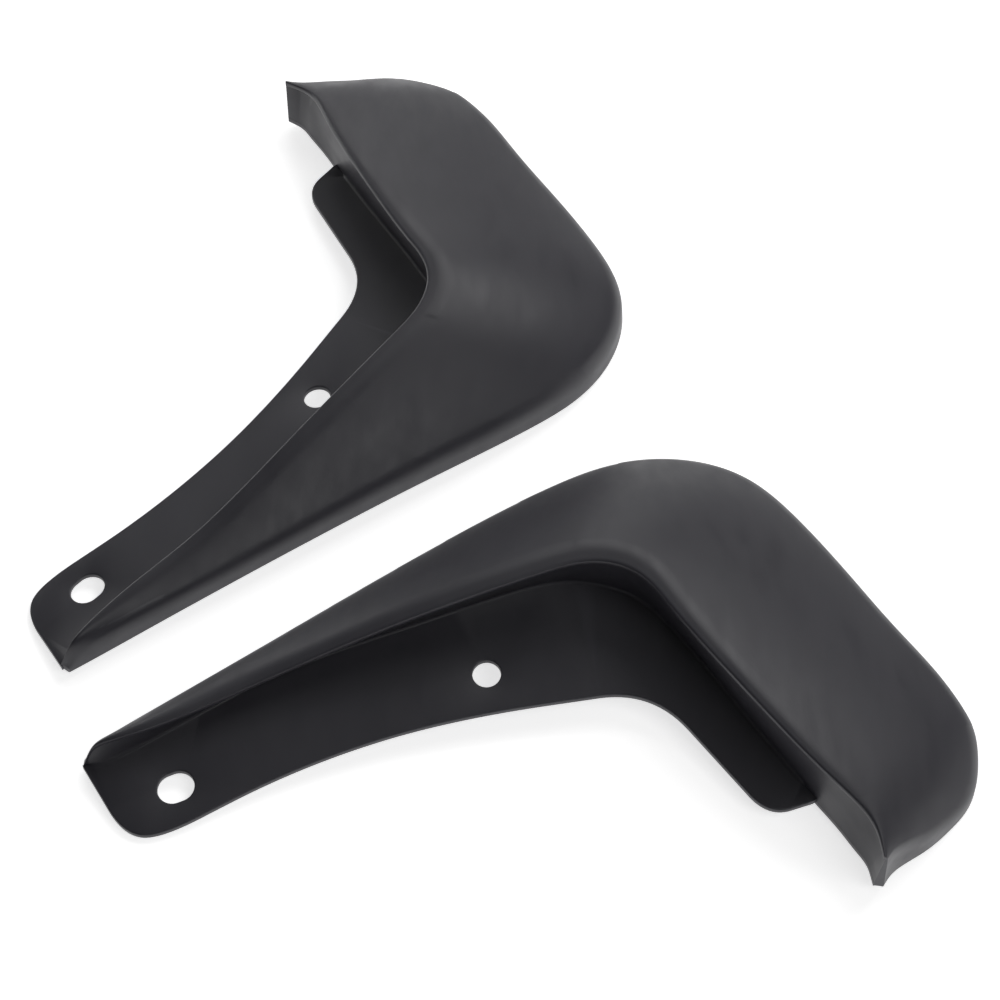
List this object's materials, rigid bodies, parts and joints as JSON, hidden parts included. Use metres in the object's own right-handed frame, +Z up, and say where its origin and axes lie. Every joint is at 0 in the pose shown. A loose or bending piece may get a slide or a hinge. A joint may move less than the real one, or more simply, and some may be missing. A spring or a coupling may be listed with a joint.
{
  "type": "mud flap",
  "caption": "Moulded plastic splash guards, left and right: a crowned L-shaped skin over a wall and a flat screw flange with a round hole and a slot.",
  "frame": {"origin": "centre of the pair's box at the level the flaps lie on", "axes": "+Z up from the rest surface, +X to the right, +Y away from the viewer"},
  "size_m": [0.3008, 0.3316, 0.0396],
  "materials": {
    "right_flap_plastic": "fine grained satin moulding",
    "left_flap_plastic": "fine grained satin moulding"
  },
  "bodies": {
    "right_flap": {"right_mud_flap": "right_flap_plastic"},
    "left_flap": {"left_mud_flap": "left_flap_plastic"}
  },
  "joints": [
    {"name": "left_flap_lift", "type": "slide", "parent": "right_flap", "child": "left_flap", "axis": [0, 0, 1], "range_m": [0, 0.1]}
  ]
}
